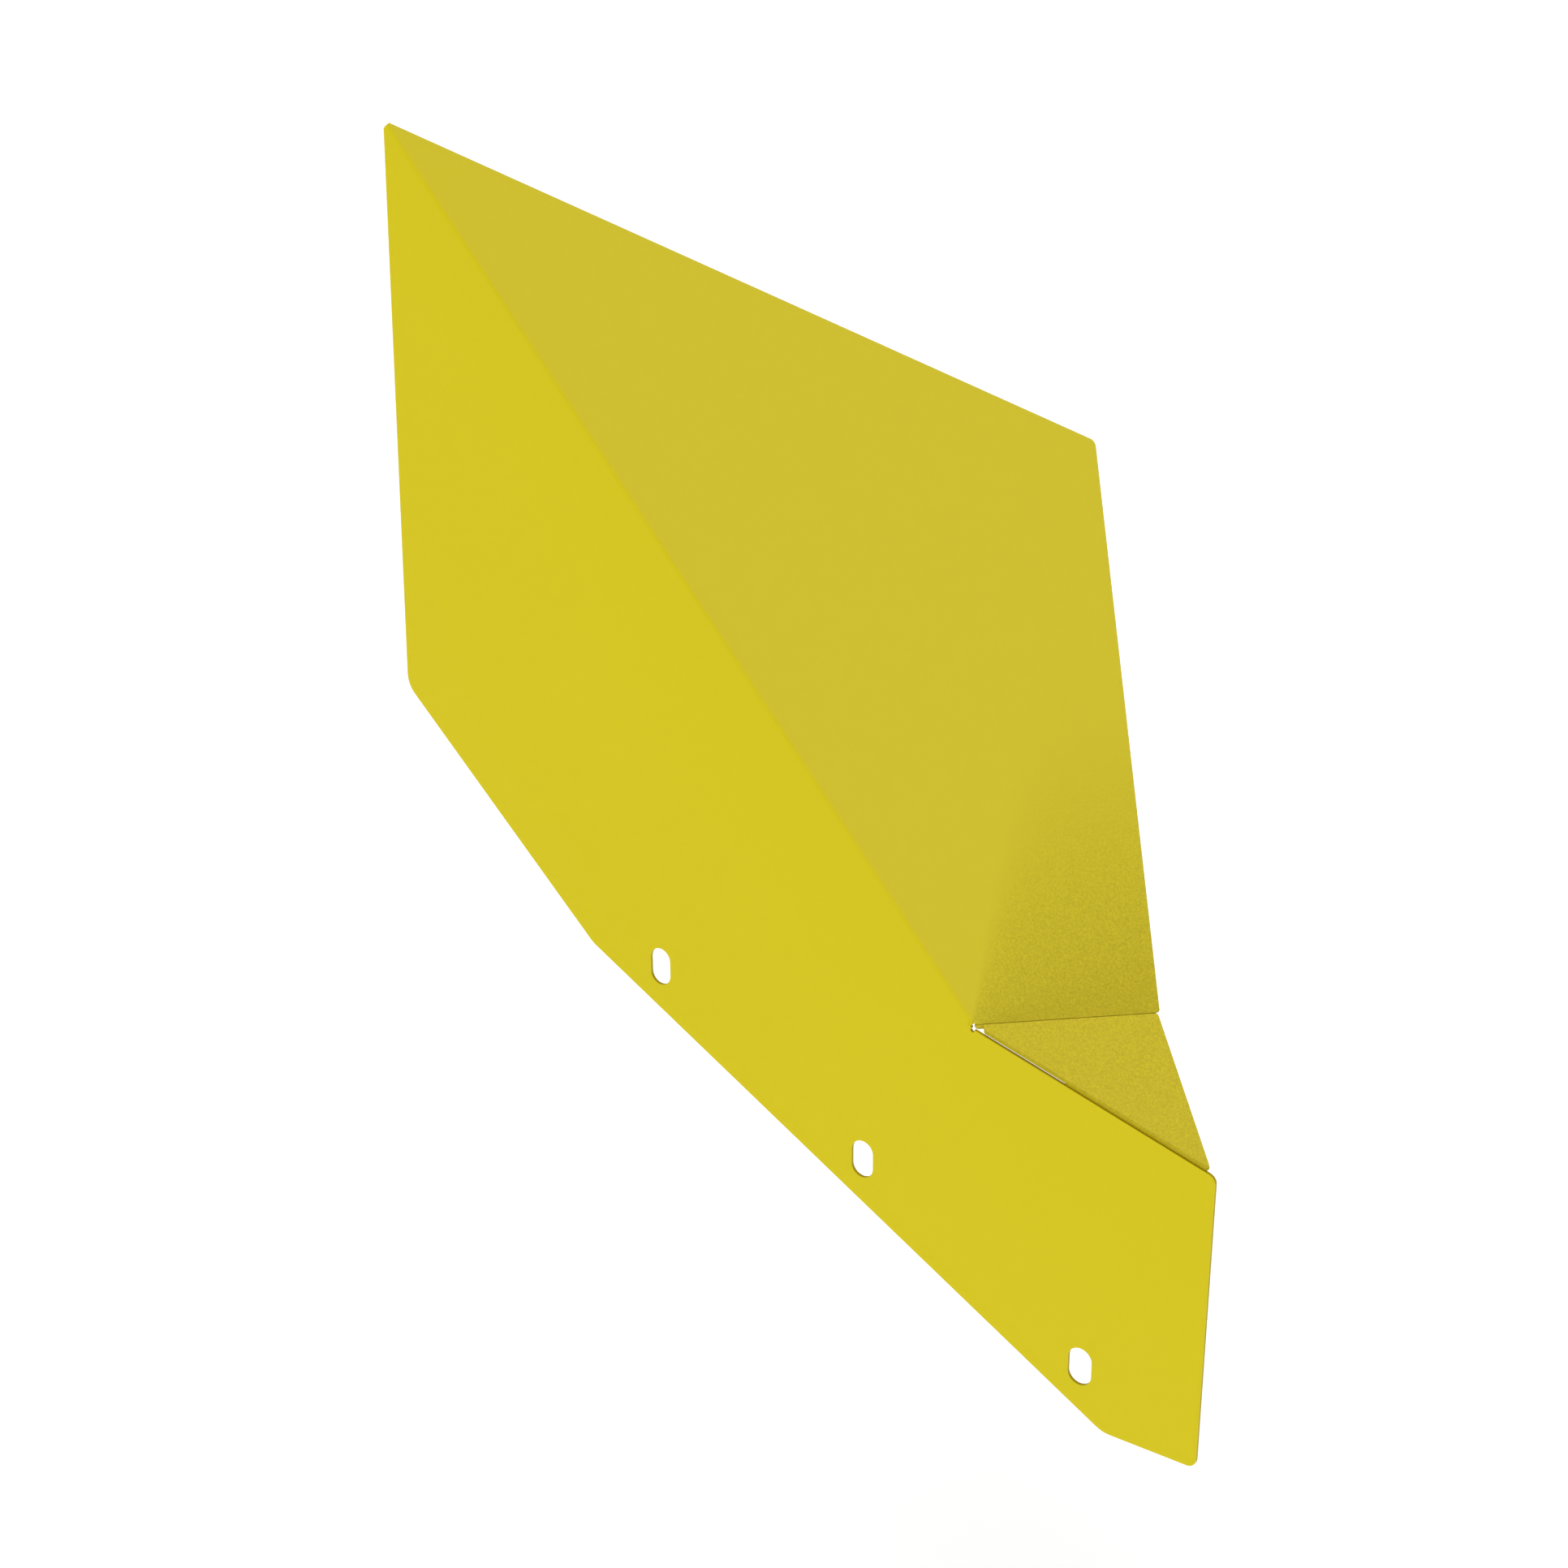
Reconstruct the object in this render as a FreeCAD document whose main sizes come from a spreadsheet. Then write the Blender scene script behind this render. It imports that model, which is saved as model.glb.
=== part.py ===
import FreeCAD, Part
import math
import os
import Sketcher

# Folded deflector wing of painted sheet steel, bolted on through three upright slots.
#
# Frame: origin at the centre of the middle slot, on the flange's back (mounting) face.
# +X runs to the flange's straight upright edge, +Y is behind the flange, +Z is up.
# The flange stands in the XZ plane with its front face at Y = -sheet_thickness.
#
# Three flat panels meet at one point, the vertex, with their front faces:
#   the flange, upright, with the slot row along its long sloping lower edge,
#   the wing, folded back from the flange along the fold line (apex down to vertex),
#   the gusset, a cut triangle that closes the corner below the wing.
# The folded sheet (flange and wing) is one piece; the gusset is welded on from behind.

SIZES = [
    # alias, millimetres or degrees, what it is
    ("sheet_thickness", 2.0, "steel sheet, all plates"),
    ("bend_radius", 3.0, "inner radius of the fold"),
    ("fold_angle", 35.0, "how far the wing turns back from the flange"),
    ("fold_slope", 48.75, "fold line below the horizontal, from apex down to vertex"),
    ("fold_length", 545.9, "apex to vertex along the fold line"),
    ("vertex_x", 63.5, "vertex from the middle slot, to the right"),
    ("vertex_z", 95.0, "vertex from the middle slot, upwards"),
    ("slot_pitch", 150.0, "slot to slot along the row"),
    ("slot_width", 13.0, "clearance slot for M12"),
    ("slot_length", 21.0, "end to end, upright"),
    ("row_slope", 30.0, "slot row below the horizontal, going right"),
    ("row_margin", 21.5, "slot row to the long lower edge"),
    ("row_run", 191.5, "middle slot to the upper end of the long lower edge"),
    ("foot_drop", 108.0, "middle slot down to the short level foot edge"),
    ("flange_reach", 195.0, "middle slot to the straight upright edge"),
    ("flange_apex_angle", 42.85, "outer edge of the flange against the fold line"),
    ("outer_edge", 303.6, "length of that outer edge from the apex"),
    ("seam_slope", 16.74, "flange to gusset seam below the horizontal, going right"),
    ("seam_gap", 0.6, "open gap between flange and gusset at the seam"),
    ("wing_apex_angle", 31.2, "top edge of the wing against the fold line"),
    ("wing_top", 398.2, "length of the wing's top edge from the apex"),
    ("wing_foot_angle", 118.9, "foot edge of the wing against the fold line"),
    ("wing_foot", 90.4, "length of the wing's foot edge from the vertex"),
    ("tip_flat", 0.4, "square land left on the wing at the trimmed apex"),
    ("large_corner", 15.0, "corner radius of the three obtuse flange corners"),
    ("small_corner", 5.0, "corner radius of the flange's right side and the wing's top"),
    ("fine_corner", 1.5, "corner radius at the foot of the wing and on the gusset"),
    ("relief_radius", 1.1, "relief hole at the lower end of the fold"),
    ("relief_drop", 2.9, "relief hole centre below the vertex"),
    ("gusset_tip_trim", 5.4, "gusset's sharp tip cut off, from the vertex"),
    ("gusset_inset", 1.0, "gusset stops short of the wing's outer corner"),
    ("gusset_end_step", 2.2, "gusset stops short of the flange's upright edge"),
    ("fit_up_gap", 0.1, "gap between wing and gusset before welding"),
    ("fold_weld_radius", 1.9, "radius of the bead between gusset and wing"),
    ("fold_weld_stand", 0.4, "its centre behind the two back corners"),
    ("fold_weld_start", 2.8, "it starts this far from the vertex"),
    ("fold_weld_stop", 2.5, "it stops this far before the gusset's outer edge"),
    ("seam_weld_radius", 1.7, "radius of the bead between gusset and flange"),
    ("seam_weld_stand", 0.9, "its centre behind the mouth of the gap"),
    ("seam_weld_start", 55.0, "it starts this far from the vertex"),
    ("seam_weld_stop", 3.8, "it stops this far before the gusset's outer edge"),
]

# Expressions worked out from the sheet, in its own aliases.
THICK = "Sizes.sheet_thickness"
OUTER_RADIUS = "(Sizes.bend_radius + Sizes.sheet_thickness)"
SETBACK = f"({OUTER_RADIUS} * tan(Sizes.fold_angle / 2))"
FOOT_TURN = "(180 - Sizes.wing_foot_angle)"
SEAM_TURN = "(Sizes.fold_slope - Sizes.seam_slope)"
# gusset's corner angle at the vertex, and its two dihedrals, by the spherical triangle
# that the fold line, the wing's foot edge and the seam make at the vertex
GUSSET_ANGLE = (
    f"acos(cos({FOOT_TURN}) * cos({SEAM_TURN})"
    f" + sin({FOOT_TURN}) * sin({SEAM_TURN}) * cos(Sizes.fold_angle))"
)
VALLEY_ANGLE = f"asin(sin({SEAM_TURN}) * sin(Sizes.fold_angle) / sin({GUSSET_ANGLE}))"
RIDGE_ANGLE = f"asin(sin({FOOT_TURN}) * sin(Sizes.fold_angle) / sin({GUSSET_ANGLE}))"
SEAM_STEP = f"({THICK} * sin({RIDGE_ANGLE}) + Sizes.seam_gap)"
SEAM_LENGTH = (
    "((Sizes.flange_reach - Sizes.gusset_end_step - Sizes.vertex_x) / cos(Sizes.seam_slope))"
)
TIP_TRIM = f"({SETBACK} / tan(Sizes.wing_apex_angle) + Sizes.tip_flat)"


def on_fold(along, across):
    """A flange point (x, z) given along the fold line from the vertex, and across it."""
    x_place = f"Sizes.vertex_x + ({along}) * cos(Sizes.fold_slope) + ({across}) * sin(Sizes.fold_slope)"
    z_place = f"Sizes.vertex_z - ({along}) * sin(Sizes.fold_slope) + ({across}) * cos(Sizes.fold_slope)"
    return x_place, z_place


def on_row(along, below):
    """A flange point (x, z) given along the slot row, and square below it."""
    x_place = f"({along}) * cos(Sizes.row_slope) - ({below}) * sin(Sizes.row_slope)"
    z_place = f"-({along}) * sin(Sizes.row_slope) - ({below}) * cos(Sizes.row_slope)"
    return x_place, z_place


doc = FreeCAD.newDocument("deflector_wing")
sheet = doc.addObject("Spreadsheet::Sheet", "Sizes")
for row, (alias, value, meaning) in enumerate(SIZES, start=1):
    sheet.set(f"A{row}", str(value))
    sheet.setAlias(f"A{row}", alias)
    sheet.set(f"B{row}", meaning)
doc.recompute()


def number(expression):
    """The value that an expression of the sheet has now."""
    found = sheet.evalExpression(expression)
    return float(getattr(found, "Value", found))


def origin_plane(body, role):
    return next(f for f in body.Origin.OriginFeatures if f.Role == role)


def new_body(label):
    body = doc.addObject("PartDesign::Body", label)
    body.Label = label
    return body


def new_sketch(body, name, role, offset=None):
    """A sketch flat on one of the body's own origin planes, moved by an offset expression."""
    sketch = body.newObject("Sketcher::SketchObject", name)
    sketch.AttachmentSupport = [(origin_plane(body, role), "")]
    sketch.MapMode = "FlatFace"
    if offset:
        sketch.setExpression("AttachmentOffset", offset)
    return sketch


def bind(sketch, kind, geometry, point, expression):
    """Holds one coordinate of a point at the value of an expression."""
    index = sketch.addConstraint(
        Sketcher.Constraint(kind, -1, 1, geometry, point, number(expression))
    )
    sketch.setExpression(f"Constraints[{index}]", expression)


def draw_outline(sketch, corners):
    """A closed outline of straight edges through corners given as pairs of expressions."""
    places = [FreeCAD.Vector(number(x), number(y), 0) for x, y in corners]
    for start, end in zip(places, places[1:] + places[:1]):
        sketch.addGeometry(Part.LineSegment(start, end))
    for edge in range(len(places)):
        following = (edge + 1) % len(places)
        sketch.addConstraint(Sketcher.Constraint("Coincident", edge, 2, following, 1))
        bind(sketch, "DistanceX", edge, 1, corners[edge][0])
        bind(sketch, "DistanceY", edge, 1, corners[edge][1])


def pad(body, sketch, name, length, backwards=False):
    feature = body.newObject("PartDesign::Pad", name)
    feature.Profile = sketch
    feature.setExpression("Length", length)
    feature.Reversed = backwards
    doc.recompute()
    return feature


def cut_through(body, sketch, name):
    """A pocket right through in both directions; it must take material away."""
    before = body.Shape.Volume
    feature = body.newObject("PartDesign::Pocket", name)
    feature.Profile = sketch
    feature.Type = 1
    feature.Midplane = True
    doc.recompute()
    if body.Shape.Volume >= before:
        raise RuntimeError(f"{name} cut nothing")


def round_corners(body, sketch, name, corners, radius):
    """Rounds the short edges that run through the sheet at the given outline corners."""
    wanted = [
        sketch.Placement.multVec(FreeCAD.Vector(number(x), number(y), 0)) for x, y in corners
    ]
    normal = sketch.Placement.Rotation.multVec(FreeCAD.Vector(0, 0, 1))
    names = []
    solid = body.Tip
    for position, edge in enumerate(solid.Shape.Edges, start=1):
        if len(edge.Vertexes) != 2:
            continue
        start, end = edge.Vertexes[0].Point, edge.Vertexes[1].Point
        if (end - start).cross(normal).Length > 1e-6:
            continue
        if any((start - place).cross(normal).Length < 1e-3 for place in wanted):
            names.append(f"Edge{position}")
    if len(names) != len(corners):
        raise RuntimeError(f"{name}: {len(names)} edges found for {len(corners)} corners")
    feature = body.newObject("PartDesign::Fillet", name)
    feature.Base = (solid, names)
    feature.setExpression("Radius", radius)
    doc.recompute()


# ---- wing_plate: flange and wing, one folded sheet --------------------------------------

wing_plate = new_body("wing_plate")

row_end = "(Sizes.foot_drop - Sizes.row_margin * cos(Sizes.row_slope)) / sin(Sizes.row_slope)"
seam_end_z = (
    "Sizes.vertex_z - (Sizes.flange_reach - Sizes.vertex_x) * tan(Sizes.seam_slope)"
    f" - {SEAM_STEP} / cos(Sizes.seam_slope)"
)
seam_start = f"({SEAM_STEP} - {SETBACK} * cos({SEAM_TURN})) / sin({SEAM_TURN})"

knee = on_row("-Sizes.row_run", "Sizes.row_margin")
foot_start = on_row(row_end, "Sizes.row_margin")
foot_end = ("Sizes.flange_reach", "-Sizes.foot_drop")
seam_end = ("Sizes.flange_reach", seam_end_z)
seam_foot = on_fold(seam_start, f"-{SETBACK}")
apex_inner = on_fold(f"{TIP_TRIM} - Sizes.fold_length", f"-{SETBACK}")
apex_outer = on_fold(
    f"{TIP_TRIM} - Sizes.fold_length", f"-{TIP_TRIM} * tan(Sizes.flange_apex_angle)"
)
shoulder = on_fold(
    "Sizes.outer_edge * cos(Sizes.flange_apex_angle) - Sizes.fold_length",
    "-Sizes.outer_edge * sin(Sizes.flange_apex_angle)",
)

flange_sketch = new_sketch(wing_plate, "flange_outline", "XZ_Plane")
draw_outline(
    flange_sketch,
    [shoulder, knee, foot_start, foot_end, seam_end, seam_foot, apex_inner, apex_outer],
)
pad(wing_plate, flange_sketch, "flange", THICK)
round_corners(
    wing_plate,
    flange_sketch,
    "flange_large_corners",
    [shoulder, knee, foot_start],
    "Sizes.large_corner",
)
round_corners(
    wing_plate, flange_sketch, "flange_small_corners", [foot_end, seam_end], "Sizes.small_corner"
)

# The fold: a sector of a tube, its section square to the fold line at the trimmed apex.
fold_x, fold_z = on_fold(f"{TIP_TRIM} - Sizes.fold_length", "0")
fold_sketch = new_sketch(
    wing_plate,
    "fold_section",
    "XZ_Plane",
    f"placement(vector({fold_x}; {fold_z}; {THICK});"
    " rotation(vector(0; 0; 1); -Sizes.fold_slope) * rotation(vector(1; 1; 1); 120))",
)
centre = FreeCAD.Vector(-number(SETBACK), -number(OUTER_RADIUS), 0)
arc_start = math.radians(90 - number("Sizes.fold_angle"))
for radius in (OUTER_RADIUS, "Sizes.bend_radius"):
    circle = Part.Circle(centre, FreeCAD.Vector(0, 0, 1), number(radius))
    fold_sketch.addGeometry(Part.ArcOfCircle(circle, arc_start, math.pi / 2))
outer_arc, inner_arc = fold_sketch.Geometry
fold_sketch.addGeometry(Part.LineSegment(outer_arc.EndPoint, inner_arc.EndPoint))
fold_sketch.addGeometry(Part.LineSegment(inner_arc.StartPoint, outer_arc.StartPoint))
fold_sketch.addConstraint(Sketcher.Constraint("Coincident", 1, 3, 0, 3))
fold_sketch.addConstraint(Sketcher.Constraint("Coincident", 2, 1, 0, 2))
fold_sketch.addConstraint(Sketcher.Constraint("Coincident", 2, 2, 1, 2))
fold_sketch.addConstraint(Sketcher.Constraint("Coincident", 3, 1, 1, 1))
fold_sketch.addConstraint(Sketcher.Constraint("Coincident", 3, 2, 0, 1))
bind(fold_sketch, "DistanceX", 0, 3, f"-{SETBACK}")
bind(fold_sketch, "DistanceY", 0, 3, f"-{OUTER_RADIUS}")
for arc, radius in enumerate((OUTER_RADIUS, "Sizes.bend_radius")):
    bind(fold_sketch, "DistanceX", arc, 2, f"-{SETBACK}")
    bind(fold_sketch, "DistanceY", arc, 2, f"{radius} - {OUTER_RADIUS}")
    bind(fold_sketch, "DistanceX", arc, 1, f"{radius} * sin(Sizes.fold_angle) - {SETBACK}")
pad(wing_plate, fold_sketch, "fold", f"Sizes.fold_length - {TIP_TRIM}")

# The wing: outline drawn on its own front face, from the apex, x down the fold line.
apex_x, apex_z = on_fold("-Sizes.fold_length", "0")
wing_sketch = new_sketch(
    wing_plate,
    "wing_outline",
    "XZ_Plane",
    f"placement(vector({apex_x}; {apex_z}; {THICK});"
    " rotation(vector(0; 0; 1); -Sizes.fold_slope) * rotation(vector(1; 0; 0); -Sizes.fold_angle))",
)
wing_top_end = (
    "Sizes.wing_top * cos(Sizes.wing_apex_angle)",
    "Sizes.wing_top * sin(Sizes.wing_apex_angle)",
)
wing_foot_end = (
    f"Sizes.fold_length + Sizes.wing_foot * cos({FOOT_TURN})",
    f"Sizes.wing_foot * sin({FOOT_TURN})",
)
draw_outline(
    wing_sketch,
    [
        (TIP_TRIM, SETBACK),
        (f"Sizes.fold_length + {SETBACK} / tan({FOOT_TURN})", SETBACK),
        wing_foot_end,
        wing_top_end,
        (TIP_TRIM, f"{TIP_TRIM} * tan(Sizes.wing_apex_angle)"),
    ],
)
pad(wing_plate, wing_sketch, "wing", THICK, backwards=True)
round_corners(wing_plate, wing_sketch, "wing_top_corner", [wing_top_end], "Sizes.small_corner")
round_corners(wing_plate, wing_sketch, "wing_foot_corner", [wing_foot_end], "Sizes.fine_corner")

# Relief hole at the foot of the fold, and the three upright slots along the row.
relief_sketch = new_sketch(wing_plate, "relief_circle", "XZ_Plane")
relief_z = "Sizes.vertex_z - Sizes.relief_drop"
relief_centre = FreeCAD.Vector(number("Sizes.vertex_x"), number(relief_z), 0)
relief_sketch.addGeometry(
    Part.Circle(relief_centre, FreeCAD.Vector(0, 0, 1), number("Sizes.relief_radius"))
)
bind(relief_sketch, "DistanceX", 0, 3, "Sizes.vertex_x")
bind(relief_sketch, "DistanceY", 0, 3, relief_z)
radius_index = relief_sketch.addConstraint(
    Sketcher.Constraint("Radius", 0, number("Sizes.relief_radius"))
)
relief_sketch.setExpression(f"Constraints[{radius_index}]", "Sizes.relief_radius")
cut_through(wing_plate, relief_sketch, "relief_hole")

slot_half_width = "Sizes.slot_width / 2"
slot_half_straight = "(Sizes.slot_length - Sizes.slot_width) / 2"
slot_sketch = new_sketch(wing_plate, "slot_outlines", "XZ_Plane")
for place in (-1, 0, 1):
    slot_x, slot_z = on_row(f"{place} * Sizes.slot_pitch", "0")
    first = len(slot_sketch.Geometry)
    for side, turn in ((1, 0.0), (-1, math.pi)):
        end_centre = FreeCAD.Vector(
            number(slot_x), number(f"{slot_z} + {side} * {slot_half_straight}"), 0
        )
        end_circle = Part.Circle(end_centre, FreeCAD.Vector(0, 0, 1), number(slot_half_width))
        slot_sketch.addGeometry(Part.ArcOfCircle(end_circle, turn, turn + math.pi))
    upper, lower = slot_sketch.Geometry[first], slot_sketch.Geometry[first + 1]
    slot_sketch.addGeometry(Part.LineSegment(upper.EndPoint, lower.StartPoint))
    slot_sketch.addGeometry(Part.LineSegment(lower.EndPoint, upper.StartPoint))
    slot_sketch.addConstraint(Sketcher.Constraint("Coincident", first, 2, first + 2, 1))
    slot_sketch.addConstraint(Sketcher.Constraint("Coincident", first + 2, 2, first + 1, 1))
    slot_sketch.addConstraint(Sketcher.Constraint("Coincident", first + 1, 2, first + 3, 1))
    slot_sketch.addConstraint(Sketcher.Constraint("Coincident", first + 3, 2, first, 1))
    for offset, side in ((0, 1), (1, -1)):
        arc = first + offset
        centre_z = f"{slot_z} + {side} * {slot_half_straight}"
        bind(slot_sketch, "DistanceX", arc, 3, slot_x)
        bind(slot_sketch, "DistanceY", arc, 3, centre_z)
        bind(slot_sketch, "DistanceX", arc, 1, f"{slot_x} + {side} * {slot_half_width}")
        bind(slot_sketch, "DistanceY", arc, 1, centre_z)
        bind(slot_sketch, "DistanceY", arc, 2, centre_z)
cut_through(wing_plate, slot_sketch, "slots")

# ---- end_gusset: the triangle below the wing --------------------------------------------
# Its own frame stands at the vertex: x along the wing's foot edge, y towards the wing,
# z out of its front face. Turning through the valley angle brings its lower corner onto
# the flange's front plane.

GUSSET_TURN = (
    "rotation(vector(1; 0; 0); 90) * rotation(vector(0; 0; 1); -Sizes.fold_slope)"
    f" * rotation(vector(1; 0; 0); -Sizes.fold_angle) * rotation(vector(0; 0; 1); {FOOT_TURN})"
    f" * rotation(vector(1; 0; 0); -({VALLEY_ANGLE}))"
)
VERTEX = f"vector(Sizes.vertex_x; -{THICK}; Sizes.vertex_z)"
GUSSET_PLACE = f"placement({VERTEX}; {GUSSET_TURN})"

end_gusset = new_body("end_gusset")
end_gusset.setExpression("Placement", GUSSET_PLACE)
gusset_top_start = ("Sizes.gusset_tip_trim", "-Sizes.fit_up_gap")
gusset_top_end = ("Sizes.wing_foot - Sizes.gusset_inset", "-Sizes.fit_up_gap")
gusset_low_end = (
    f"{SEAM_LENGTH} * cos({GUSSET_ANGLE})",
    f"-{SEAM_LENGTH} * sin({GUSSET_ANGLE})",
)
gusset_low_start = (
    "Sizes.gusset_tip_trim",
    f"-Sizes.gusset_tip_trim * tan({GUSSET_ANGLE})",
)
gusset_sketch = new_sketch(end_gusset, "gusset_outline", "XY_Plane")
draw_outline(gusset_sketch, [gusset_top_start, gusset_low_start, gusset_low_end, gusset_top_end])
pad(end_gusset, gusset_sketch, "gusset", THICK, backwards=True)
round_corners(
    end_gusset,
    gusset_sketch,
    "gusset_corners",
    [gusset_low_end, gusset_top_end],
    "Sizes.fine_corner",
)

# ---- the two weld beads, both behind the plates -----------------------------------------


def weld_bead(label, place, start, stop, across, behind, radius, tools):
    """A round-ended bead along x of a placement, with the tools' solids cut out of it."""
    run = doc.addObject("Part::Cylinder", f"{label}_run")
    run.setExpression("Radius", radius)
    run.setExpression("Height", f"({stop}) - ({start})")
    run.setExpression(
        "Placement",
        f"{place} * placement(vector({start}; {across}; {behind}); rotation(vector(0; 1; 0); 90))",
    )
    parts = [run]
    for name, along in (("first", start), ("last", stop)):
        end = doc.addObject("Part::Sphere", f"{label}_{name}_end")
        end.setExpression("Radius", radius)
        end.setExpression(
            "Placement",
            f"{place} * placement(vector({along}; {across}; {behind}); rotation(vector(0; 0; 1); 0))",
        )
        parts.append(end)
    whole = doc.addObject("Part::MultiFuse", f"{label}_whole")
    whole.Shapes = parts
    cutter = doc.addObject("Part::MultiFuse", f"{label}_cutter")
    cutter.Shapes = tools
    bead = doc.addObject("Part::Cut", label)
    bead.Label = label
    bead.Base = whole
    bead.Tool = cutter
    doc.recompute()
    return bead


# The seam's own frame: x down the seam, y up the flange, z out of the flange's front face.
SEAM_PLACE = (
    f"placement({VERTEX};"
    " rotation(vector(1; 0; 0); 90) * rotation(vector(0; 0; 1); -Sizes.seam_slope))"
)
# What would stand on the mounting face is taken off both beads, so the flange still bolts
# down flat all over.
mounting_side = doc.addObject("Part::Box", "mounting_side")
mounting_side.setExpression("Length", SEAM_LENGTH)
mounting_side.setExpression("Width", "4 * Sizes.seam_weld_radius")
mounting_side.setExpression("Height", "4 * Sizes.seam_weld_radius")
mounting_side.setExpression(
    "Placement",
    f"{SEAM_PLACE} * placement(vector(0; -{SEAM_STEP} - 4 * Sizes.seam_weld_radius;"
    f" -{THICK} - 4 * Sizes.seam_weld_radius); rotation(vector(0; 0; 1); 0))",
)

# In the gusset's frame the groove behind its top edge opens along half the valley angle.
fold_weld_depth = f"({THICK} + Sizes.fold_weld_stand)"
fold_weld = weld_bead(
    "fold_weld",
    GUSSET_PLACE,
    "Sizes.fold_weld_start",
    "Sizes.wing_foot - Sizes.gusset_inset - Sizes.fold_weld_stop",
    f"{fold_weld_depth} * sin({VALLEY_ANGLE} / 2)",
    f"-{fold_weld_depth} * cos({VALLEY_ANGLE} / 2)",
    "Sizes.fold_weld_radius",
    [wing_plate, end_gusset, mounting_side],
)

# The mouth of the gap runs from the flange's back corner square to the gusset's back face,
# and the bead stands behind the middle of it, along that face.
mouth_half = (
    f"(({THICK} * (1 - cos({RIDGE_ANGLE})) * cos({RIDGE_ANGLE})"
    f" + Sizes.seam_gap * sin({RIDGE_ANGLE})) / 2)"
)
seam_weld_across = (
    f"{SEAM_STEP} - {mouth_half} * sin({RIDGE_ANGLE}) - Sizes.seam_weld_stand * cos({RIDGE_ANGLE})"
)
seam_weld_behind = (
    f"{THICK} - {mouth_half} * cos({RIDGE_ANGLE}) + Sizes.seam_weld_stand * sin({RIDGE_ANGLE})"
)
seam_weld = weld_bead(
    "seam_weld",
    SEAM_PLACE,
    "Sizes.seam_weld_start",
    f"{SEAM_LENGTH} - Sizes.seam_weld_stop",
    f"-({seam_weld_across})",
    f"-({seam_weld_behind})",
    "Sizes.seam_weld_radius",
    [wing_plate, end_gusset, mounting_side],
)

# ---- checks and files -------------------------------------------------------------------

doc.recompute()
for item in doc.Objects:
    if "Invalid" in item.State or "Error" in item.State:
        raise RuntimeError(f"{item.Label} did not rebuild: {item.State}")

os.makedirs("parts", exist_ok=True)
for piece in (wing_plate, end_gusset, fold_weld, seam_weld):
    shape = piece.Shape
    if shape.isNull() or not shape.isValid() or len(shape.Solids) != 1:
        raise RuntimeError(f"{piece.Label} is not one valid solid")
    box = shape.BoundBox
    print(
        f"{piece.Label}: {shape.Volume / 1000:.2f} cm3,"
        f" X {box.XMin:.1f}..{box.XMax:.1f}, Y {box.YMin:.1f}..{box.YMax:.1f},"
        f" Z {box.ZMin:.1f}..{box.ZMax:.1f}"
    )
    shape.exportStep(os.path.join("parts", f"{piece.Label}.step"))
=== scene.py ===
"""Looks of a bolt-on deflector of folded, powder-coated sheet steel.

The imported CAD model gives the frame: metres, +Z up, +Y behind the flange, origin at the
middle slot. Two classes build the object: SheetPlate softens the edges of one flat or folded
plate, and WeldBead gives a weld its ripple. Each is dressed in a powder coat finish.
"""

import logging
import math
from dataclasses import dataclass
from enum import Enum

import bmesh
import bpy
from mathutils import Matrix, Vector


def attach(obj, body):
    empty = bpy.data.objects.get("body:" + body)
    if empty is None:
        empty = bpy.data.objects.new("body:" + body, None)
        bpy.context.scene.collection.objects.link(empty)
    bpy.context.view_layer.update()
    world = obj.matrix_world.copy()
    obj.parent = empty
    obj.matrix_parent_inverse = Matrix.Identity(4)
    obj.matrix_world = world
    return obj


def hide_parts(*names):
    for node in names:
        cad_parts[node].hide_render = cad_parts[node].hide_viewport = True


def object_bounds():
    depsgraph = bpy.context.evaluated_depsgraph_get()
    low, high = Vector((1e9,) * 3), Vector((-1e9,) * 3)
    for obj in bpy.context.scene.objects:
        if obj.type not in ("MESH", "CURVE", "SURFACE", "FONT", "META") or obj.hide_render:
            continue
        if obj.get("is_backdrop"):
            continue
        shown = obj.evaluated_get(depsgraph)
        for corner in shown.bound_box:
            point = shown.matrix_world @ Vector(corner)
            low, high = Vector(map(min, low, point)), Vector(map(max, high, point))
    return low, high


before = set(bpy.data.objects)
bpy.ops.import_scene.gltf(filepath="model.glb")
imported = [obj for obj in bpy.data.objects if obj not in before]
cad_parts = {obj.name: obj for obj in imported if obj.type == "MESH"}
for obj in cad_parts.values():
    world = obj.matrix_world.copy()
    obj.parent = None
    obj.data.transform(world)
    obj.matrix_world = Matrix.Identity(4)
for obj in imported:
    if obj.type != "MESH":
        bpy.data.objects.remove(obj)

LOG = logging.getLogger("deflector")
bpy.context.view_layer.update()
MM = 0.001
BODY = "root"


class Texture(Enum):
    """How the cured film lies on a piece, and where it carries painted shade."""

    GRAIN_AND_SHADE_WEDGE = "grain_and_shade_wedge"
    GRAIN_AND_SHADE_ALL_OVER = "grain_and_shade_all_over"
    OVER_WELD = "over_weld"
    CUT_EDGE = "cut_edge"


def linear(hex_colour: str) -> tuple[float, float, float, float]:
    """Turns an sRGB hex colour into linear light.

    Args:
        hex_colour: Six hex digits, red first.

    Returns:
        Red, green, blue and an alpha of 1.
    """
    levels = [int(hex_colour[i : i + 2], 16) / 255 for i in (0, 2, 4)]
    red, green, blue = (
        v / 12.92 if v <= 0.04045 else ((v + 0.055) / 1.055) ** 2.4 for v in levels
    )
    return red, green, blue, 1.0


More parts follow.
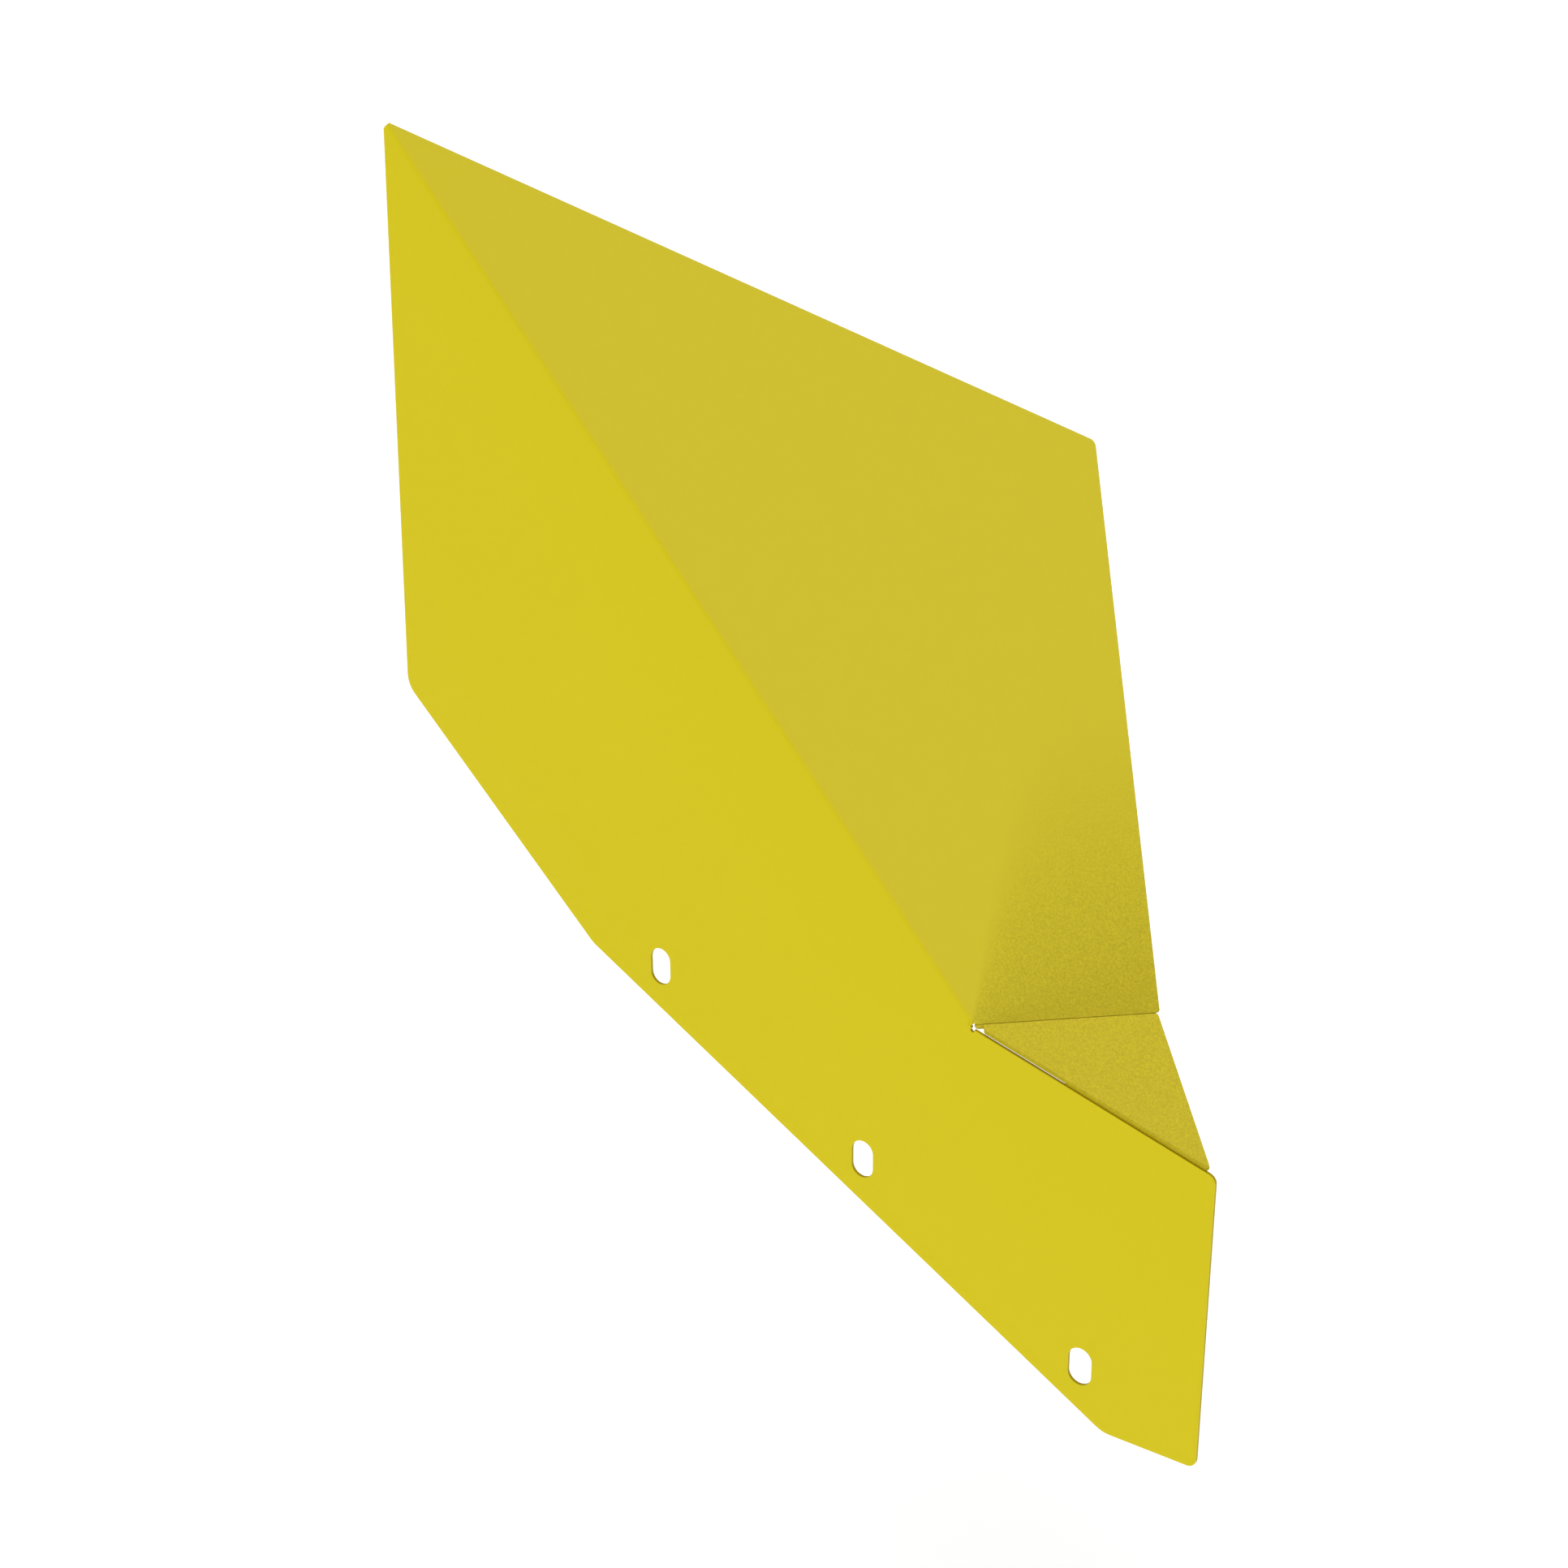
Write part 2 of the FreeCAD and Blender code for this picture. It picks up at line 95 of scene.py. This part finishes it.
def add_node(
    tree: bpy.types.NodeTree, kind: str, inputs: dict | None = None, **settings: object
) -> bpy.types.Node:
    """Adds one node, with its settings, its input values and its links.

    Args:
        tree: The material's or world's node tree.
        kind: The node's type name.
        inputs: Input name or number to a value, or to an output socket to link from.
        settings: Properties of the node itself, such as operation.

    Returns:
        The new node.
    """
    node = tree.nodes.new(kind)
    for name, value in settings.items():
        setattr(node, name, value)
    for key, value in (inputs or {}).items():
        if isinstance(value, bpy.types.NodeSocket):
            tree.links.new(value, node.inputs[key])
        else:
            node.inputs[key].default_value = value
    return node


@dataclass(frozen=True)
class Valley:
    """The inside corner where the gusset meets the wing, measured on the fold weld."""

    start: Vector
    along: Vector
    up: Vector

    @classmethod
    def from_weld(cls, node: str) -> "Valley":
        """Reads the valley from a straight weld's CAD node.

        Args:
            node: Name of the node that lies along the valley.

        Returns:
            The valley, starting at the end nearer the fold.
        """
        start, end = weld_ends(node)
        along = (end - start).normalized()
        upward = Vector((0, 0, 1))
        return cls(start, along, (upward - along * along.dot(upward)).normalized())


def weld_ends(node: str) -> tuple[Vector, Vector]:
    """Finds the two ends of a straight weld, on its longest line.

    Args:
        node: Name of the weld's CAD node.

    Returns:
        The left and the right end, in the row frame.
    """
    points = [v.co.copy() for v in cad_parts[node].data.vertices]
    left = min(points, key=lambda p: p.x)
    right = max(points, key=lambda p: p.x)
    axis = (right - left).normalized()
    middle = sum(points, Vector()) / len(points)
    reach = [(p - middle).dot(axis) for p in points]
    return middle + axis * min(reach), middle + axis * max(reach)


@dataclass(frozen=True)
class PowderCoat:
    """Polyester powder coat, sprayed dry and cured to a smooth semi-gloss film.

    The film flows out to a faint orange peel. In an inside corner the film is drawn grainy and
    rougher, and darkened as painted shade, the shade that the gusset and flange cast there.
    """

    name: str
    texture: Texture
    base_hex: str
    pale_hex: str
    sheen_hex: str
    seed: float
    # The share of brightness taken off as painted shade where the corner mask is full (as random
    # mottle on welds and cut edges), and as painted shade along the gusset's lower edge by the
    # gap.
    painted_shade_and_mottle: float = 0.13
    gap_shade_depth: float = 0.22
    roughness: float = 0.42
    ior: float = 1.5
    specular: float = 0.13
    patch_mm: float = 170.0
    peel_mm: float = 3.2
    # A dry film's grit is 0.1 to 0.3 mm; it is drawn coarser, so that it shows at all.
    grit_mm: float = 1.1
    # How far grit lightens and darkens the colour, on a full film and on a dry one.
    least_grit: float = 0.004
    most_grit: float = 0.16
    patch_roughness: float = 0.05
    dry_roughness: float = 0.16
    film_depth_mm: float = 0.06
    bump_strength: float = 0.35

    def make(self, valley: Valley) -> bpy.types.Material:
        """Builds the finish as a node material.

        Args:
            valley: The inside corner that the grain and the painted shade lie along.

        Returns:
            The new material.
        """
        material = bpy.data.materials.new(self.name)
        material.use_nodes = True
        tree = material.node_tree
        tree.nodes.clear()
        place = add_node(
            tree,
            "ShaderNodeVectorMath",
            {
                0: add_node(tree, "ShaderNodeTexCoord").outputs["Object"],
                1: (self.seed, self.seed, self.seed),
            },
            operation="ADD",
        ).outputs[0]
        patches = self.noise(tree, place, self.patch_mm, 2.0)
        # Corner mask: grain, a rougher film and painted shade in the inside corner.
        grain_and_painted_shade = self.dry_grain_and_painted_shade(tree, valley, patches)
        grit = self.noise(tree, place, self.grit_mm, 1.0)
        peel = self.noise(tree, place, self.peel_mm, 1.0)

        colour = add_node(
            tree,
            "ShaderNodeMix",
            {0: patches, 6: linear(self.base_hex), 7: linear(self.pale_hex)},
            data_type="RGBA",
        ).outputs[2]
        # Painted sheen: a paler, bluer colour on the faces behind the flange.
        colour = add_node(
            tree,
            "ShaderNodeMix",
            {0: self.painted_sheen_share(tree), 6: colour, 7: linear(self.sheen_hex)},
            data_type="RGBA",
        ).outputs[2]
        speckle = self.scaled(tree, grit, 0.0, 1.0, -1.0, 1.0)
        strength = self.scaled(tree, grain_and_painted_shade, 0.0, 1.0, self.least_grit, self.most_grit)
        # Painted shade: the corner mask darkens the colour; on welds and cut edges it is a faint
        # random mottle.
        shade = self.maths(tree, "MULTIPLY_ADD", grain_and_painted_shade, -self.painted_shade_and_mottle, 1.0)
        shade = self.maths(tree, "MULTIPLY_ADD", speckle, strength, shade)
        if self.texture is Texture.GRAIN_AND_SHADE_ALL_OVER:
            # Painted shade along the gusset's lower edge, by the seam's gap.
            gap_shade = self.gap_shade_mask(tree)
            shade = self.maths(tree, "MULTIPLY_ADD", gap_shade, -self.gap_shade_depth, shade)
        colour = add_node(
            tree,
            "ShaderNodeVectorMath",
            {0: colour, "Scale": shade},
            operation="SCALE",
        ).outputs[0]

        smoothest = self.roughness - self.patch_roughness / 2
        roughness = self.maths(tree, "MULTIPLY_ADD", patches, self.patch_roughness, smoothest)
        roughness = self.maths(tree, "MULTIPLY_ADD", grain_and_painted_shade, self.dry_roughness, roughness)
        film = self.maths(tree, "MULTIPLY_ADD", grain_and_painted_shade, speckle, peel)
        bump = add_node(
            tree,
            "ShaderNodeBump",
            {
                "Strength": self.bump_strength,
                "Distance": self.film_depth_mm * MM,
                "Height": film,
            },
        ).outputs[0]
        surface = add_node(
            tree,
            "ShaderNodeBsdfPrincipled",
            {
                "Base Color": colour,
                "Roughness": roughness,
                "IOR": self.ior,
                "Specular IOR Level": self.specular,
                "Normal": bump,
            },
        )
        add_node(tree, "ShaderNodeOutputMaterial", {"Surface": surface.outputs[0]})
        return material

    def painted_sheen_share(self, tree: bpy.types.NodeTree) -> bpy.types.NodeSocket:
        """The share of painted sheen, from 0 on the upright flange to 1 on what leans back.

        On the faces that lean back the colour is made paler and bluer: painted sheen, the veil of
        reflected light on those faces.

        Args:
            tree: The material's node tree.

        Returns:
            The socket that carries the amount.
        """
        point = add_node(tree, "ShaderNodeTexCoord").outputs["Object"]
        behind = add_node(tree, "ShaderNodeSeparateXYZ", {"Vector": point}).outputs["Y"]
        return self.scaled(tree, behind, -1.9 * MM, -0.9 * MM, 0.0, 1.0)

    def gap_shade_mask(self, tree: bpy.types.NodeTree) -> bpy.types.NodeSocket:
        """Painted shade along the gusset's open lower edge, the shade that falls into the seam's
        gap.

        Args:
            tree: The material's node tree.

        Returns:
            The socket that carries 1 at the edge, falling to 0 about 2 mm up the plate.
        """
        points = [v.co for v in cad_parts["end_gusset"].data.vertices]
        front = min(point.y for point in points)
        edge = [point for point in points if point.y < front + 0.05 * MM]
        left = min(edge, key=lambda point: point.x)
        along = (max(edge, key=lambda point: point.x) - left).normalized()
        upward = Vector((0, 0, 1))
        upward = (upward - along * along.dot(upward)).normalized()
        point = add_node(tree, "ShaderNodeTexCoord").outputs["Object"]
        from_edge = add_node(
            tree, "ShaderNodeVectorMath", {0: point, 1: left}, operation="SUBTRACT"
        ).outputs[0]
        above = add_node(
            tree, "ShaderNodeVectorMath", {0: from_edge, 1: upward}, operation="DOT_PRODUCT"
        ).outputs["Value"]
        return self.scaled(tree, above, 0.2 * MM, 0.9 * MM, 1.0, 0.0)

    def dry_grain_and_painted_shade(
        self, tree: bpy.types.NodeTree, valley: Valley, patches: bpy.types.NodeSocket
    ) -> bpy.types.NodeSocket:
        """The corner mask, from 0 on open sheet to 1 deep in the corner: grain, roughness and
        painted shade.

        On the wing it fills a wedge that widens from the foot of the fold along the valley:
        painted shade where the gusset shades the wing. On the small gusset it is nearly full all
        over. On welds and cut edges it is a faint random pattern.

        Args:
            tree: The material's node tree.
            valley: The inside corner.
            patches: The large soft pattern, which thins the film on edges and welds.

        Returns:
            The socket that carries the amount.
        """
        if self.texture in (Texture.OVER_WELD, Texture.CUT_EDGE):
            return self.scaled(tree, patches, 0.0, 1.0, 0.0, 0.3)
        point = add_node(tree, "ShaderNodeTexCoord").outputs["Object"]
        from_start = add_node(
            tree, "ShaderNodeVectorMath", {0: point, 1: valley.start}, operation="SUBTRACT"
        ).outputs[0]
        along = add_node(
            tree, "ShaderNodeVectorMath", {0: from_start, 1: valley.along}, operation="DOT_PRODUCT"
        ).outputs["Value"]
        above = add_node(
            tree, "ShaderNodeVectorMath", {0: from_start, 1: valley.up}, operation="DOT_PRODUCT"
        ).outputs["Value"]
        if self.texture is Texture.GRAIN_AND_SHADE_ALL_OVER:
            return self.scaled(tree, above, -60 * MM, 0.0, 0.8, 1.0)
        # Painted shade: a wedge beside the valley, where the gusset and flange shade the wing.
        widening = self.maths(tree, "MAXIMUM", self.maths(tree, "ADD", along, 2 * MM), 1 * MM)
        slope = self.maths(tree, "DIVIDE", above, widening)
        wedge = self.scaled(tree, slope, 1.0, 4.5, 1.0, 0.0)
        reach = self.scaled(tree, above, 10 * MM, 160 * MM, 1.0, 0.0)
        # The flange lies below the valley, so it gets neither this grain nor this painted shade.
        wing = self.scaled(tree, above, -0.5 * MM, 1.0 * MM, 0.0, 1.0)
        reach = self.maths(tree, "MULTIPLY", reach, wing)
        beside_fold = self.scaled(tree, along, -5 * MM, -1 * MM, 0.0, 1.0)
        reach = self.maths(tree, "MULTIPLY", reach, beside_fold)
        return self.maths(tree, "MULTIPLY", wedge, reach)

    @staticmethod
    def noise(
        tree: bpy.types.NodeTree, place: bpy.types.NodeSocket, size_mm: float, detail: float
    ) -> bpy.types.NodeSocket:
        """A soft random pattern whose blobs have a real size.

        Args:
            tree: The material's node tree.
            place: The socket with the position in metres.
            size_mm: Width of one blob.
            detail: How many finer layers are added.

        Returns:
            The socket that carries the pattern, about 0.5 on average.
        """
        return add_node(
            tree,
            "ShaderNodeTexNoise",
            {"Vector": place, "Scale": 1 / (size_mm * MM), "Detail": detail},
        ).outputs[0]

    @staticmethod
    def maths(tree: bpy.types.NodeTree, operation: str, *values: object) -> bpy.types.NodeSocket:
        """One arithmetic step on sockets or numbers, returned as a socket."""
        return add_node(
            tree, "ShaderNodeMath", dict(enumerate(values)), operation=operation
        ).outputs[0]

    @staticmethod
    def scaled(
        tree: bpy.types.NodeTree, value: bpy.types.NodeSocket, *limits: float
    ) -> bpy.types.NodeSocket:
        """A value moved smoothly from one range to another.

        Args:
            tree: The material's node tree.
            value: The socket to move.
            limits: From low, from high, to low, to high.

        Returns:
            The socket that carries the new value.
        """
        low, high, new_low, new_high = limits
        return add_node(
            tree,
            "ShaderNodeMapRange",
            {0: value, 1: low, 2: high, 3: new_low, 4: new_high},
            interpolation_type="SMOOTHSTEP",
        ).outputs[0]


@dataclass
class SheetPlate:
    """One plate of the weldment, with the laser-cut edges rounded over by the coating."""

    name: str
    node: str
    slot: str
    finish: PowderCoat
    edge_finish: PowderCoat
    edge_radius: float = 0.25 * MM
    sharp: float = math.radians(32)

    def build(self, valley: Valley) -> bpy.types.Object:
        """Builds the plate over its CAD node and dresses it.

        Args:
            valley: The inside corner that the grain and the painted shade lie along.

        Returns:
            The plate's object.
        """
        mesh = bpy.data.meshes.new(self.name)
        solid = bmesh.new()
        solid.from_mesh(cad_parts[self.node].data)
        bmesh.ops.remove_doubles(solid, verts=solid.verts, dist=0.001 * MM)
        self.round_edges(solid)
        solid.to_mesh(mesh)
        solid.free()
        plate = bpy.data.objects.new(self.name, mesh)
        bpy.context.scene.collection.objects.link(plate)
        mesh.shade_smooth()
        mesh.set_sharp_from_angle(angle=self.sharp)
        mesh.materials.append(self.finish.make(valley))
        mesh.materials.append(self.edge_finish.make(valley))
        weighted = plate.modifiers.new("flat_faces_first", "WEIGHTED_NORMAL")
        weighted.keep_sharp = True
        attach(plate, BODY)
        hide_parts(self.node)
        return plate

    def round_edges(self, solid: bmesh.types.BMesh) -> None:
        """Joins flat triangles into whole faces and rounds the sharp edges between them.

        Args:
            solid: The plate's mesh, closed.
        """
        bmesh.ops.dissolve_limit(
            solid, angle_limit=math.radians(0.5), verts=solid.verts, edges=solid.edges
        )
        sharp_edges = [
            edge
            for edge in solid.edges
            if edge.is_manifold and edge.calc_face_angle() > self.sharp
        ]
        self.mark_cut_walls(solid, set(sharp_edges))
        bmesh.ops.bevel(
            solid,
            geom=sharp_edges,
            offset=self.edge_radius,
            segments=2,
            profile=0.5,
            affect="EDGES",
            clamp_overlap=False,
            material=0,
        )

    @staticmethod
    def mark_cut_walls(solid: bmesh.types.BMesh, sharp_edges: set[bmesh.types.BMEdge]) -> None:
        """Gives the second material to every face but the sheet's front and back.

        Args:
            solid: The plate's mesh, with its flat faces joined.
            sharp_edges: The edges that part the front and the back from the cut walls.
        """
        left = set(solid.faces)
        regions = []
        while left:
            front = [left.pop()]
            region = []
            while front:
                face = front.pop()
                region.append(face)
                for edge in face.edges:
                    if edge in sharp_edges:
                        continue
                    beside = left.intersection(edge.link_faces)
                    left -= beside
                    front.extend(beside)
            regions.append(region)
        regions.sort(key=lambda region: sum(face.calc_area() for face in region))
        for region in regions[:-2]:
            for face in region:
                face.material_index = 1


@dataclass
class WeldBead:
    """A MIG weld bead, painted over: a round bead with crescent ripples along its length."""

    name: str
    node: str
    slot: str
    finish: PowderCoat
    ripple_pitch: float = 1.9 * MM
    ripple_depth: float = 0.22 * MM
    grain: float = 0.28 * MM

    def build(self, valley: Valley) -> bpy.types.Object:
        """Builds the bead over its CAD node and dresses it.

        Args:
            valley: Passed on to the finish.

        Returns:
            The bead's object.
        """
        mesh = bpy.data.meshes.new(self.name)
        solid = bmesh.new()
        solid.from_mesh(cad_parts[self.node].data)
        bmesh.ops.remove_doubles(solid, verts=solid.verts, dist=0.001 * MM)
        solid.to_mesh(mesh)
        solid.free()
        bead = bpy.data.objects.new(self.name, mesh)
        bpy.context.scene.collection.objects.link(bead)
        remesh = bead.modifiers.new("even_grain", "REMESH")
        remesh.mode = "VOXEL"
        remesh.voxel_size = self.grain
        evaluated = bead.evaluated_get(bpy.context.evaluated_depsgraph_get())
        fine = bpy.data.meshes.new_from_object(evaluated)
        bead.modifiers.clear()
        bead.data = fine
        self.ripple(fine)
        fine.shade_smooth()
        fine.materials.clear()
        fine.materials.append(self.finish.make(valley))
        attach(bead, BODY)
        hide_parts(self.node)
        return bead

    def ripple(self, mesh: bpy.types.Mesh) -> None:
        """Presses crescent ripples into the bead's open surface, towards its middle line.

        Args:
            mesh: The bead's fine mesh, changed in place.
        """
        start, end = weld_ends(self.node)
        axis = (end - start).normalized()
        for vertex in mesh.vertices:
            offset = vertex.co - start
            along = offset.dot(axis)
            spoke = offset - axis * along
            crescent = along - 0.35 * spoke.length_squared / self.ripple_pitch
            phase = (crescent / self.ripple_pitch) % 1.0
            wander = 0.5 + 0.5 * math.sin(along * 2.1 / self.ripple_pitch)
            depth = self.ripple_depth * (1 - phase) ** 2 * (0.7 + 0.3 * wander)
            if spoke.length > self.ripple_depth:
                vertex.co -= spoke.normalized() * depth


@dataclass(frozen=True)
class SoftLight:
    """A plain studio light, far off and broad, so its shadows have no hard edge."""

    name: str
    toward: tuple[float, float, float]
    strength: float
    spread: float
    tint: str = "FFFFFF"

    def build(self) -> bpy.types.Object:
        """Hangs the light on its side of the object, facing it.

        Returns:
            The light's object.
        """
        data = bpy.data.lights.new(self.name, "SUN")
        data.energy = self.strength
        data.angle = self.spread
        data.color = linear(self.tint)[:3]
        light = bpy.data.objects.new(self.name, data)
        light.location = self.toward
        light.rotation_mode = "QUATERNION"
        light.rotation_quaternion = Vector(self.toward).to_track_quat("Z", "Y")
        bpy.context.scene.collection.objects.link(light)
        return light


@dataclass(frozen=True)
class Studio:
    """Pale seamless paper under the object, an even white room and three soft lights."""

    drop: float = 0.30
    floor_size: float = 80.0
    floor_hex: str = "F8F8F7"
    floor_glow: float = 0.35
    wall_glow: float = 1.1
    wall_height: float = 25.0
    wall_sides: int = 48
    room_hex: str = "FFFFFF"
    room_strength: float = 0.43
    lights: tuple[SoftLight, ...] = (
        SoftLight("overhead_light", (0.0, -0.2, 0.98), 1.24, math.radians(45)),
        SoftLight("camera_side_light", (0.352, -0.807, 0.474), 0.40, math.radians(30), "C4CDFF"),
        SoftLight("under_light", (0.387, -0.477, -0.789), 1.26, math.radians(24), "E9FFED"),
    )

    def build(self) -> None:
        """Builds the floor, the room's own light and the three soft lights."""
        lowest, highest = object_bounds()
        aim = (lowest + highest) / 2
        self.floor(lowest.z - self.drop, aim)
        self.walls(lowest.z - self.drop, aim)
        world = bpy.data.worlds.new("white_room")
        world.use_nodes = True
        world.node_tree.nodes.clear()
        glow = add_node(
            world.node_tree,
            "ShaderNodeBackground",
            {"Color": linear(self.room_hex), "Strength": self.room_strength},
        )
        add_node(world.node_tree, "ShaderNodeOutputWorld", {"Surface": glow.outputs[0]})
        bpy.context.scene.world = world
        for light in self.lights:
            light.build()

    def floor(self, height: float, middle: Vector) -> None:
        """Lays the paper.

        Args:
            height: Height of the paper's surface.
            middle: The paper is centred under this point.
        """
        half = self.floor_size / 2
        corners = [(-half, -half, 0), (half, -half, 0), (half, half, 0), (-half, half, 0)]
        floor = self.paper("paper_floor", corners, [(0, 1, 2, 3)], self.floor_glow)
        floor.location = (middle.x, middle.y, height)

    def walls(self, height: float, middle: Vector) -> None:
        """Stands the same white paper all round, far off, so that no horizon shows.

        Args:
            height: Height of the floor that the walls stand on.
            middle: The walls are centred round this point.
        """
        reach = self.floor_size / 2 - 5
        turns = [math.tau * step / self.wall_sides for step in range(self.wall_sides)]
        ring = [(reach * math.cos(turn), reach * math.sin(turn)) for turn in turns]
        points = [(x, y, z) for z in (0, self.wall_height) for x, y in ring]
        count = len(ring)
        faces = [(i, (i + 1) % count, count + (i + 1) % count, count + i) for i in range(count)]
        walls = self.paper("paper_walls", points, faces, self.wall_glow)
        walls.location = (middle.x, middle.y, height)
        # The room's own light is the world's, so the walls add none.
        walls.visible_diffuse = False
        walls.visible_glossy = False

    def paper(
        self,
        name: str,
        points: list[tuple[float, float, float]],
        faces: list[tuple[int, ...]],
        glow: float,
    ) -> bpy.types.Object:
        """Makes one sheet of matt white paper that is lit through from behind.

        Args:
            name: Name of the sheet.
            points: Its corners in metres.
            faces: Its faces, as corner numbers.
            glow: How strongly it is lit through.

        Returns:
            The sheet's object, staged.
        """
        mesh = bpy.data.meshes.new(name)
        mesh.from_pydata(points, [], faces)
        sheet = bpy.data.objects.new(name, mesh)
        bpy.context.scene.collection.objects.link(sheet)
        material = bpy.data.materials.new(f"matt_seamless_{name}")
        material.use_nodes = True
        surface = material.node_tree.nodes["Principled BSDF"]
        surface.inputs["Base Color"].default_value = linear(self.floor_hex)
        surface.inputs["Roughness"].default_value = 0.9
        surface.inputs["Specular IOR Level"].default_value = 0.1
        surface.inputs["Emission Color"].default_value = linear(self.floor_hex)
        surface.inputs["Emission Strength"].default_value = glow
        mesh.materials.append(material)
        # Light comes through the paper, so it shades nothing.
        sheet.visible_shadow = False
        sheet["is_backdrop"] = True
        return sheet


@dataclass(frozen=True)
class Viewpoint:
    """The camera: to the right of the flange's front, looking down on it a little."""

    place: tuple[float, float, float] = (0.5656, -0.8695, 0.5920)
    azimuth: float = math.radians(35.28)
    dip: float = math.radians(20.41)
    roll: float = math.radians(0.29)
    lens_mm: float = 52.29
    sensor_mm: float = 36.0

    def build(self) -> bpy.types.Object:
        """Places the camera and makes it the scene's.

        Returns:
            The camera's object.
        """
        data = bpy.data.cameras.new("camera")
        data.sensor_width = self.sensor_mm
        data.lens = self.lens_mm
        data.clip_start = 0.05
        data.clip_end = 100.0
        camera = bpy.data.objects.new("camera", data)
        ahead = Vector(
            (
                -math.sin(self.azimuth) * math.cos(self.dip),
                math.cos(self.azimuth) * math.cos(self.dip),
                -math.sin(self.dip),
            )
        )
        upright = ahead.to_track_quat("-Z", "Y").to_matrix().to_4x4()
        turn = Matrix.Rotation(-self.roll, 4, "Z")
        camera.matrix_world = Matrix.Translation(self.place) @ upright @ turn
        bpy.context.scene.collection.objects.link(camera)
        bpy.context.scene.camera = camera
        return camera


YELLOW = "CEBB0B"
PALE_YELLOW = "D0BC0D"
# Painted sheen colour, put on the faces that lean back.
PAINTED_SHEEN_YELLOW = "CEBB25"
# Darker yellows for the cut walls: painted shade.
SHADED_EDGE_YELLOW = "AF9806"
PALE_SHADED_EDGE = "B49D0A"

# Powder coat on the folded sheet: a saturated yellow with a soft, low sheen, and a wedge of
# painted shade on the wing beside the gusset.
SHEET_COAT = PowderCoat(
    "powder_coated_sheet_steel", Texture.GRAIN_AND_SHADE_WEDGE, YELLOW, PALE_YELLOW, PAINTED_SHEEN_YELLOW, 0.0
)
# The gusset sits in the corner: a fine grain all over, a faint painted shade and a painted shade
# along its lower edge.
GUSSET_COAT = PowderCoat(
    "powder_coated_gusset", Texture.GRAIN_AND_SHADE_ALL_OVER, YELLOW, PALE_YELLOW, PAINTED_SHEEN_YELLOW, 3.7, 0.01
)
# Powder coat over a MIG bead: the same yellow, uneven where it follows the ripples.
WELD_COAT = PowderCoat(
    "powder_coat_over_mig_weld", Texture.OVER_WELD, YELLOW, PALE_YELLOW, PAINTED_SHEEN_YELLOW, 5.1
)
# Powder coat on the cut walls, painted darker all round: painted shade, the shade that falls on
# the walls in the seam's gap.
EDGE_COAT = PowderCoat(
    "cut_edge_coat_painted_shade", Texture.CUT_EDGE, SHADED_EDGE_YELLOW, PALE_SHADED_EDGE, SHADED_EDGE_YELLOW, 8.2
)
PLATES = (
    SheetPlate("folded_wing_plate", "wing_plate", "sheet_paint", SHEET_COAT, EDGE_COAT),
    SheetPlate("corner_gusset", "end_gusset", "gusset_paint", GUSSET_COAT, EDGE_COAT),
)
BEADS = (
    WeldBead("fold_weld_bead", "fold_weld", "weld_paint", WELD_COAT),
    WeldBead("seam_weld_bead", "seam_weld", "weld_paint", WELD_COAT),
)


def main() -> None:
    """Builds the plates, the welds, the studio and the camera, in that order."""
    logging.basicConfig(level=logging.INFO, format="%(name)s: %(message)s")
    valley = Valley.from_weld("fold_weld")
    for part in (*PLATES, *BEADS):
        piece = part.build(valley)
        LOG.info("%s: %d faces", piece.name, len(piece.data.polygons))
    Studio().build()
    Viewpoint().build()
    bpy.context.scene.view_settings.view_transform = "Standard"


if __name__ == "__main__":
    main()
